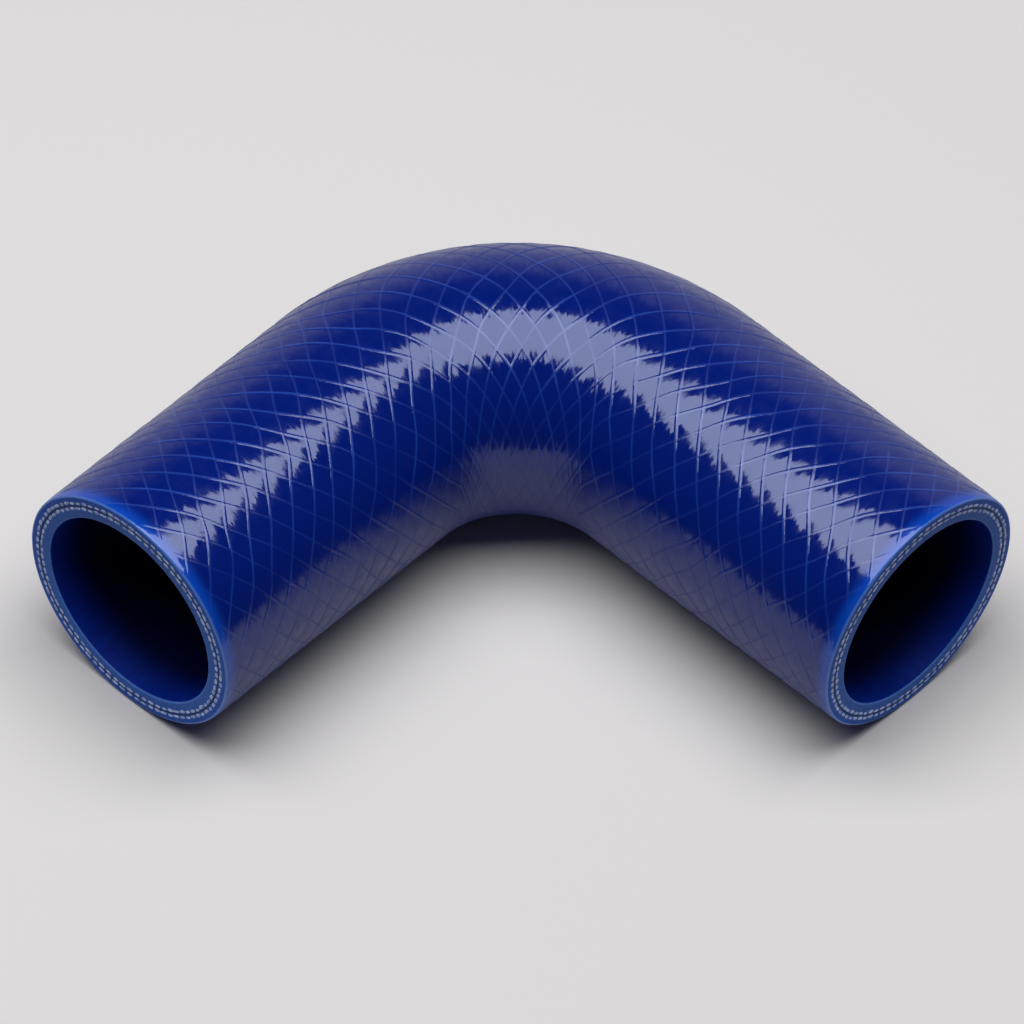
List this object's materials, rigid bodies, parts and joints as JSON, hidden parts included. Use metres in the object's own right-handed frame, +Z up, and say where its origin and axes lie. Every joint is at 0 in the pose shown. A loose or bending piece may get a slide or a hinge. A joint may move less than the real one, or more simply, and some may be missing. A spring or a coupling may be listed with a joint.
{
  "type": "silicone intake elbow",
  "caption": "Right-angle silicone hose elbow for an engine's air intake: two equal straight clamping ends joined by a round bend, with raised criss-cross lines on the cover.",
  "frame": {"origin": "middle of the footprint, on the surface that the elbow lies on", "axes": "+Z up; one open end faces -X and the other faces -Y; the corner where the two legs' axes meet is at +X +Y"},
  "size_m": [0.127, 0.127, 0.05],
  "materials": {
    "blue_silicone": "glossy royal blue silicone rubber, matt where the ends are cut"
  },
  "bodies": {
    "root": {"hose_elbow": "blue_silicone"}
  },
  "joints": []
}
